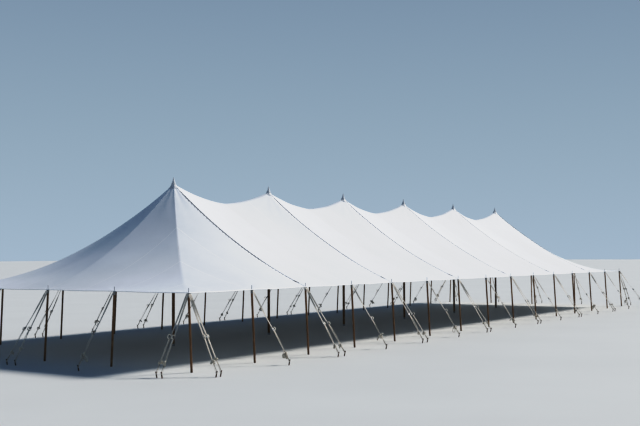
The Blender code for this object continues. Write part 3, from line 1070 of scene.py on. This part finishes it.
# The ratchet of a guy, with X down the strap, Y across it and Z outwards. A plate's length, height,
# thickness and rounded share come first, then its place and its turn in degrees. A bar is its X and Z,
# radius, length and sides.
ratchetForm = {
    "frame": ((0.064, 0.0125, 0.0017, 0.3), (0.001, 0.0152, 0), 0),
    "handle": ((0.056, 0.0095, 0.0015, 0.3), (0.008, 0.0174, 0.0042), 5),
    "pawl": ((0.017, 0.0018, 0.0285, 0.4), (0.0035, 0, 0.0055), -14),
    "bolt": (0.027, 0, 0.0032, 0.0335, 12),
    "spindle": (-0.013, 0, 0.0048, 0.0365, 12),
    "hub": (-0.013, 0, 0.0062, 0.0380, 6),
    "grip": (0.034, 0.0018, 0.0044, 0.0362, 12),
    "barEdge": 0.25,         # share of its radius
    "teeth": 12,
    "toothRadii": (0.0072, 0.0088),
    "gear": (-0.013, 0.0133, 0.0008),  # X, distance from the middle and half its thickness
}
acrossTurn = Matrix.Rotation(math.radians(-90), 4, "X")


def ratchetShape():
    form = ratchetForm
    shape = Shape()
    for part, side in (("frame", -1), ("frame", 1), ("handle", -1), ("handle", 1), ("pawl", 1)):
        size, (x, y, z), degrees = form[part]
        place = Matrix.Translation((x, side * y, z)) @ Matrix.Rotation(math.radians(degrees), 4, "Y")
        plate(shape, *size, place)
    gearX, gearY, gearHalf = form["gear"]
    radii = np.tile(form["toothRadii"], form["teeth"])
    teeth = np.stack(circle(len(radii)), axis=-1) * radii[:, None]
    for side in (-1, 1):
        ys = (side * gearY - gearHalf, side * gearY + gearHalf)
        loft(shape, [[(gearX + x, y, z) for x, z in teeth] for y in ys])
    for x, z, radius, length, sides in (form[part] for part in ("bolt", "spindle", "hub", "grip")):
        edge = radius * form["barEdge"]
        profile = bevelled(radius, -length / 2, length / 2, edge, edge)
        turned(shape, profile, sides, Matrix.Translation((x, 0, z)) @ acrossTurn)
    return shape


ratchet = ratchetShape()

# Guys: webbing from a ring on each side pole down to a steel stake. A ratchet takes up the slack. Below it
# a sewn loop goes round the stake, and the spare end hangs beside it, knotted up near the ground.
guyForm = {
    "seat": 0.008,           # of the strap's head inside the ring's edge
    "twinSpacing": 0.03,
    "twinSpread": 0.2,
    "cornerSpread": 0.1,
    "sideFan": 0.2,
    "endFan": 0.1,
    "reach": 0.74,
    "foot": 0.06,            # height of the loop round the stake
    "width": real(50),
    "thick": real(3.2),
    "ringWire": real(4),
    "ringEye": (0.003, 0.005),  # place and half width of the ring's narrow end
    "ringLong": real(38),
    "sewnBack": real(200),   # of the end that is folded back over the ring and sewn
    "ratchetPlace": 0.55,    # share of the strap's length
    "tilt": (0.35, 0.8),     # radians by which the upper strap turns over
    "tiltGrows": 0.15,       # share of the upper strap along which it does
    "tiltEnds": (0.25, 0.6), # share of it where it starts to turn back
    "tiltFades": 0.35,       # and along which it does
    "ratchetBack": 0.013,    # of the spindle, up the strap from the ratchet's middle
    "ratchetFront": 0.027,   # of the bolt, down the strap
    "roll": (0.0088, 0.0013, 0.001),  # radius of the strap wound on the spindle, its inset and edge
    "sag": real(14),
    "loopWide": 0.64,        # share of its width that shows below the ratchet, where it is pulled tight
    "loopNarrow": 0.4,       # and where the loop bunches round the stake
    "loopOpens": (0.5, 1.0), # shares of its length along which it opens round the stake
    "loopTurn": math.radians(80),  # by which it turns on edge there
    "loopTurns": (0.6, 1.0), # shares of its length along which it does
    "loopBack": 0.012,       # of the loop's end, sewn behind itself
    "loopFold": 0.004,
    "twinBundle": 0.5,       # size of the bundles on twin guys, which have less to spare
}
tailForm = {  # the spare end, down to its bundle
    "off": real(36),         # most that it hangs out from the strap
    "rest": 0.01,            # least
    "loop": real(85),        # height of its first slack loop, at the ratchet
    "loopLong": 0.06,
    "loopSteps": (0.12, 1, 10),  # shares of its length, first and last, and their number
    "loopRound": 0.8,        # less than 1 fills it out
    "loopLeans": 0.3,
    "steps": 14,             # from the loop to the knot
    "narrows": 4,            # steps in which it does
    "slack": (0.4, 1.1),     # times that height
    "lean": (-0.3, 0.3),
    "turn": (-0.9, 0.9),     # radians
    "thick": real(2.4),
    "widths": (0.85, 0.42),  # shares of the strap's width in the loop and below it
    "knotAt": (0.8, 0.88),   # share of the strap's length
}
bundleForm = {
    "coilRadius": (0.3, 0.2),  # shares of the strap's width: the least, and what a full size bundle adds
    "coilTurns": 4,
    "coilSteps": 9,          # in each turn
    "coilPitch": 0.008,
    "coilOff": 0.4,          # outwards, as a share of its radius
    "coilFlat": 0.8,         # its width beside its depth
    "coilUneven": 0.18,
    "coilThick": 1.5,        # times the strap's thickness
    "coilWide": 0.45,        # shares of the strap's width
    "petalWide": 0.72,
    "endWide": 0.6,
    "petals": (4, 5, 6),     # loops that the spare end is bundled into
    "petal": real(185),      # their length
    "long": (0.5, 1.05),     # times that length
    "open": 0.34,            # half the width of a loop, as a share of its length
    "ways": (-2.6, 2.6),     # radians round the strap
    "outwards": (0.35, 1),   # shares of where it points
    "downwards": (-0.2, 1),
    "lean": (-0.6, 0.9),
    "twist": (-0.7, 0.7),
    "below": (0.004, 0.03),  # the knot
    "sink": 0.45,
    "ends": 2,
    "endLong": (0.04, 0.08),
    "endFrom": (0.02, 0.8),  # below the knot, and outwards in radii of the coil
    "endRise": 0.5,          # outwards and to its side, as shares of its length
    "endSwing": 0.6,
}
dice = random.Random(7)


class GuyLine:  # the straight line of a guy, with its own ways level and outwards
    def __init__(self, head, foot):
        self.head = head
        self.length = (foot - head).length
        self.down = (foot - head).normalized()
        self.level = Vector((0, 0, 1)).cross(self.down).normalized()
        self.normal = self.down.cross(self.level)

    def at(self, far, off=0.0, side=0.0):  # a point this far down the line, out from it and to its side
        return self.head + self.down * far + self.normal * off + self.level * side

    def tilted(self, turn):  # the way across, turned outwards
        return self.level * math.cos(turn) + self.normal * math.sin(turn)

    def place(self, far):  # X down the line, Y level and Z outwards
        turn = Matrix((self.down, self.level, self.normal)).transposed()
        return Matrix.Translation(self.at(far)) @ turn.to_4x4()


def eased(points):  # cuts the corners of a closed path twice
    for _ in range(2):
        sides = zip(points, points[1:] + points[:1])
        points = [a.lerp(b, share) for a, b in sides for share in (0.25, 0.75)]
    return points


def guy(steel, webbing, pin, outward, twin, spread):
    form = guyForm
    along = Vector((-outward.y, outward.x, 0))
    head = pin + outward * (poleForm["ringRadius"] - form["seat"]) + along * twin * form["twinSpacing"] / 2
    head.z = ringTop - poleForm["ringThick"] / 2
    foot = pin + outward * form["reach"] + along * spread
    foot.z = form["foot"]
    line = GuyLine(head, foot)
    wire = form["ringWire"]
    eyeAt, eyeHalf = form["ringEye"]
    ring = [line.at(eyeAt, 0, side * eyeHalf) for side in (-1, 1)]
    ring += [line.at(form["ringLong"], 0, side * (form["width"] / 2 + wire)) for side in (1, -1)]
    tube(steel, eased(ring), wire, 8, closed=True)
    middle = line.length * form["ratchetPlace"]
    steel.addShape(ratchet, line.place(middle))
    upperStrap(webbing, line, middle)
    lowerLoop(webbing, line, middle)
    spareEnd(webbing, line, middle, form["twinBundle"] if twin else 1)
    stake(steel, webbing, foot, outward)


def upperStrap(webbing, line, middle):
    form = guyForm
    thick = form["thick"]
    half = form["width"] / 2
    top = form["ringLong"]
    low = middle - form["ratchetBack"]
    tilt = math.copysign(dice.uniform(*form["tilt"]), line.level.x + line.level.y)  # to face the near left
    back = dice.uniform(*form["tiltEnds"])
    strap = [(line.at(top + form["sewnBack"] * share, -thick), line.level) for share in (1, 0.5, 0)]
    strap += [(line.at(top - thick), line.level), (line.at(top, thick * 0.6), line.level)]
    for share in np.arange(1, 33) / 32:
        grown = fade(share, 0.0, form["tiltGrows"]) * (1 - fade(share, back, back + form["tiltFades"]))
        off = thick * 0.6 * (1 - share) - form["sag"] * 4 * share * (1 - share)
        strap.append((line.at(top + (low - top) * share, off), line.tilted(tilt * grown)))
    ribbon(webbing, strap, form["width"], thick)
    radius, inset, edge = form["roll"]
    turned(webbing, bevelled(radius, -half, half, inset, edge), 14, line.place(low) @ acrossTurn)


def lowerLoop(webbing, line, middle):
    form = guyForm
    thick = form["thick"]
    start = middle + form["ratchetFront"]
    end = line.length - stakeForm["radius"] * 0.4
    widths = form["width"] * np.linspace(form["loopWide"], form["loopNarrow"], 21)
    for side in (-1, 1):
        strap = []
        for share in np.linspace(0, 1, 21):
            spread = side * (stakeForm["radius"] + thick * 0.6) * fade(share, *form["loopOpens"])
            point = line.at(start + (end - start) * share, side * thick * 0.55 * (1 - share), spread)
            turn = side * form["loopTurn"] * fade(share, *form["loopTurns"])
            strap.append((point, line.tilted(turn)))
        ribbon(webbing, strap, widths, thick)
    back = start + form["loopBack"]
    fold = [(back, -thick), (start, -thick), (start - form["loopFold"], 0), (start, thick), (back, thick)]
    ribbon(webbing, [(line.at(*spot), line.level) for spot in fold], widths[0], thick)


def spareEnd(webbing, line, middle, size):
    form = tailForm
    start = middle - guyForm["ratchetBack"]
    rest = form["rest"]
    knot = line.length * dice.uniform(*form["knotAt"])
    off = form["off"] * dice.uniform(0, 1) ** 2
    side = dice.uniform(*form["lean"]) * guyForm["width"]
    slack = form["loop"] * dice.uniform(*form["slack"])
    lean = dice.uniform(*form["lean"])
    points = [line.at(start + 0.002, rest * 0.9)]
    for t in np.linspace(*form["loopSteps"]):  # a slack loop that stands out from the ratchet
        rise = slack * math.sin(math.pi * t) ** form["loopRound"]
        far = start + form["loopLong"] * t - form["loopLeans"] * slack * math.sin(2 * math.pi * t)
        points.append(line.at(far, rest + rise, lean * rise))
    loopEnd = len(points)
    start += form["loopLong"]
    steps = form["steps"]
    for share in np.arange(1, steps + 1) / steps:
        bulge = math.sin(math.pi * share)
        points.append(line.at(start + (knot - start) * share, rest + off * bulge, side * bulge))
    turn = dice.uniform(*form["turn"])
    strap = [(point, line.tilted(turn * max(0, k - loopEnd) / steps)) for k, point in enumerate(points)]
    narrowing = [loopEnd, loopEnd + form["narrows"]]
    widths = guyForm["width"] * np.interp(np.arange(len(strap)), narrowing, form["widths"])
    ribbon(webbing, strap, widths, form["thick"], look=1)
    bundle(webbing, line, knot, size)


def bundle(webbing, line, knot, size):  # the spare end in loops, wound in the middle and knotted
    form = bundleForm
    width = guyForm["width"]
    thick = tailForm["thick"]
    least, more = form["coilRadius"]
    radius = width * (least + more * size)
    coil = []
    for turns in np.arange(form["coilTurns"] * form["coilSteps"] + 1) / form["coilSteps"]:
        angle = 2 * math.pi * turns
        wide = radius * (1 + form["coilUneven"] * math.sin(angle * 0.37 + 1))
        off = wide * math.cos(angle) + radius * form["coilOff"]
        side = wide * form["coilFlat"] * math.sin(angle)
        point = line.at(knot + form["coilPitch"] * size * turns, off, side)
        coil.append((point, line.down * 0.9 + line.level * 0.35 * math.sin(angle * 0.5)))
    ribbon(webbing, coil, width * form["coilWide"], thick * form["coilThick"], look=1)
    plumb = Vector((0, 0, -1))
    for _ in range(dice.choice(form["petals"])):
        outwards = line.tilted(math.pi / 2 - dice.uniform(*form["ways"]))
        leaf = outwards * dice.uniform(*form["outwards"]) + plumb * dice.uniform(*form["downwards"])
        leaf.normalize()
        sideways = leaf.cross(line.down + outwards * dice.uniform(*form["lean"])).normalized()
        twist = dice.uniform(*form["twist"])
        long = form["petal"] * size * dice.uniform(*form["long"])
        base = line.at(knot + dice.uniform(*form["below"]) * size, radius * 0.6)
        petal = []
        for t in np.linspace(0, 1, 13):
            rise = math.sin(math.pi * t)
            spread = form["open"] * math.sin(2 * math.pi * t)
            point = base + (leaf * rise + sideways * spread + plumb * (form["sink"] * rise * rise)) * long
            petal.append((point, leaf.cross(sideways) + sideways * twist * rise))
        ribbon(webbing, petal, width * form["petalWide"], thick, look=1)
    endAt, endOff = form["endFrom"]
    for _ in range(form["ends"]):
        long = dice.uniform(*form["endLong"]) * (0.5 + 0.5 * size)
        swing = dice.uniform(-1, 1) * form["endSwing"]
        base = line.at(knot + endAt, radius * endOff)
        end = []
        for t in np.linspace(0, 1, 9):
            way = line.normal * form["endRise"] * math.sin(2.2 * t) + line.level * swing * t + plumb * t * t
            end.append((base + way * long, line.level))
        ribbon(webbing, end, width * form["endWide"], thick, look=1)


stakeForm = {
    "radius": 0.0095,
    "height": 0.09,
    "lean": 0.02,
    "headLip": real(5),
    "headSides": ((0, 1.6), (0.5, 1), (0.7, 0.4)),  # out from the bar and down from the top, in lips
    "headTop": ((0.8, 0), (0.3, real(1))),  # share of the bar's radius, and height over the top
    "bandHigh": real(44),    # of the tape wound round it
    "bandOut": real(4),
    "bandEdge": (real(3), real(2)),  # how far its ends are set in, and over what height
}


def stake(steel, webbing, foot, outward):  # driven in with a lean, its head mushroomed
    form = stakeForm
    radius, high, lip = form["radius"], form["height"], form["headLip"]
    slope = outward * form["lean"] / high
    base = Vector((foot.x, foot.y, 0)) - slope * foot.z
    top = base + slope * high + Vector((0, 0, high))
    profile = [(radius, 0)]
    profile += [(radius + lip * out, high - lip * down) for out, down in form["headSides"]]
    profile += [(radius * share, high + rise) for share, rise in form["headTop"]]
    leaning(steel, profile, base, top, look=1)
    half = form["bandHigh"] / 2
    band = bevelled(radius + form["bandOut"], foot.z - half, foot.z + half, *form["bandEdge"])
    leaning(webbing, band, base, top)


def guyPair(outward, spread, shift=0.0):
    return [(outward, twin, shift + twin * spread / 2) for twin in (-1, 1)]


def cornerGuys(outward, otherWay, fan):
    along = Vector((-outward.y, outward.x, 0))
    return guyPair(outward, guyForm["cornerSpread"], fan * round(along.dot(otherWay)))


def stations():  # name, pin, way outwards and guys of each side pole
    made = []
    for row, side in (("near", -1), ("far", 1)):
        out = Vector((0, side, 0))
        for k, x in enumerate(pinXs):
            guys = [(out, 0, 0)]
            if k in (0, baysLong):
                end = Vector((math.copysign(1, x), 0, 0))
                guys = cornerGuys(out, end, guyForm["sideFan"]) + cornerGuys(end, out, guyForm["endFan"])
            elif min(abs(x - px) for px in peaks) < bay / 4:
                guys = guyPair(out, guyForm["twinSpread"])
            made.append((f"{row}_{k + 1:02d}", Vector((x, side * halfWidth, 0)), out, guys))
    for row, end in (("left", -1), ("right", 1)):
        out = Vector((end, 0, 0))
        for k, y in enumerate(pinYs, 1):
            middle = 2 * k == roofForm["baysWide"]
            guys = guyPair(out, guyForm["twinSpread"]) if middle else [(out, 0, 0)]
            made.append((f"{row}_{k}", Vector((end * halfLength, y, 0)), out, guys))
    return made


for name, pin, outward, guys in stations():
    steel = sidePole(name, pin, outward)
    webbing = Shape()
    for way, twin, spread in guys:
        guy(steel, webbing, pin, way, twin, spread)
    steel.toObject(f"steelwork_{name}", "steel", [zinc, forged])
    webbing.toObject(f"guy_webbing_{name}", "guy_webbing", [guyWebbing, spareWebbing])
print("side poles and guys: made", len(stations()))


# Studio: a pale matt floor, a plain pale surround and soft light. The key stands to the right, so that the
# left end is the shaded one.
studio = {
    "floor": "#D3D5D4",
    "mottle": (1, "#CBCDCC"),
    "mottleNoise": {"Scale": 0.4, "Detail": 4.0},
    "floorRoughness": 0.9,
    "floorSize": 600,
    "floorDrop": 0.0005,     # below the feet, so that they don't flicker
    "surroundLow": "#A6B6C4",    # at the level of the floor
    "surroundHigh": "#375472",
    "surroundTop": 0.7,      # height in the surround, from 0 to 1 overhead, where it is darkest
    # strength, colour, softness in degrees and place: degrees round from -Y towards +X, and above the floor
    "key_light": (3.7, "#FFF8F0", 12, (62, 38)),
    "fill_light": (0.05, "#D5E3F2", 40, (-150, 35)),
}


def studioFloor():
    half = studio["floorSize"] / 2
    mesh = bpy.data.meshes.new("studio_floor")
    corners = [(-half, -half, 0), (half, -half, 0), (half, half, 0), (-half, half, 0)]
    mesh.from_pydata(corners, [], [(0, 1, 2, 3)])
    made, tree = newMaterial("matt_studio_floor", {"Roughness": studio["floorRoughness"]})
    spot = addNode(tree, "TexCoord").outputs["Object"]
    cloud = addNode(tree, "TexNoise", {"Vector": spot, **studio["mottleNoise"]})
    mesh.materials.append(surface(made, studio["floor"], [(cloud, *studio["mottle"])]))
    floor = addObject("studio_floor", mesh)
    floor.location.z = -studio["floorDrop"]
    floor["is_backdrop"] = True


def softSun(name):
    strength, colour, softness, place = studio[name]
    light = bpy.data.lights.new(name, "SUN")
    light.energy = strength
    light.color = hexColour(colour)[:3]
    light.angle = math.radians(softness)
    turn, rise = (math.radians(v) for v in place)
    towards = Vector((math.sin(turn) * math.cos(rise), -math.cos(turn) * math.cos(rise), math.sin(rise)))
    addObject(name, light).rotation_euler = towards.to_track_quat("Z", "Y").to_euler()


def surround():
    world = bpy.data.worlds.new("studio_surround")
    world.use_nodes = True
    tree = world.node_tree
    way = addNode(tree, "SeparateXYZ", {0: addNode(tree, "TexCoord").outputs["Generated"]}).outputs["Z"]
    rise = addNode(tree, "MapRange", {"Value": way, "From Max": studio["surroundTop"]})
    shades = {0: rise, 6: studio["surroundLow"], 7: studio["surroundHigh"]}
    setInputs(tree.nodes["Background"], {"Color": addNode(tree, "Mix", shades, data_type="RGBA")})
    bpy.context.scene.world = world


# Camera, from the places of the poles and peaks in the photograph's 640 by 426 frame.
cameraForm = {
    "place": (-21.643, -12.648, 1.707),
    "yaw": 56.48,            # degrees from +Y towards +X
    "pitch": 2.49,
    "roll": -0.26,
    "focalPixels": 977.4,
    "frameWide": 640,
    "sensor": 36.0,
    "clip": (0.1, 500),
    # the film's response, light in and light out: deep shadows, and whites that level off
    "response": ((0, 0), (0.12, 0.06), (0.24, 0.18), (0.46, 0.46), (0.69, 0.735), (0.83, 0.79), (1, 0.85)),
}


def photoCamera():
    form = cameraForm
    data = bpy.data.cameras.new("photo_camera")
    data.sensor_width = form["sensor"]
    data.lens = form["focalPixels"] / form["frameWide"] * form["sensor"]
    data.clip_start, data.clip_end = form["clip"]
    place = Matrix.Translation(form["place"])
    for degrees, axis in ((-form["yaw"], "Z"), (90 + form["pitch"], "X"), (form["roll"], "Z")):
        place @= Matrix.Rotation(math.radians(degrees), 4, axis)
    made = addObject("photo_camera", data)
    made.matrix_world = place
    bpy.context.scene.camera = made


def filmResponse():
    view = bpy.context.scene.view_settings
    view.view_transform = "Standard"
    view.use_curve_mapping = True
    first, *between, last = cameraForm["response"]
    curve = view.curve_mapping.curves[3]  # red, green and blue together
    curve.points[0].location = first
    curve.points[1].location = last
    for point in between:
        curve.points.new(*point)
    view.curve_mapping.update()


studioFloor()
softSun("key_light")
softSun("fill_light")
surround()
photoCamera()
filmResponse()
print("studio: floor, lights and camera")

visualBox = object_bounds()
for name, box in (("frame", cadBox), ("visual", visualBox)):
    print("size:", name, [round(high - low, 3) for low, high in zip(*box)])
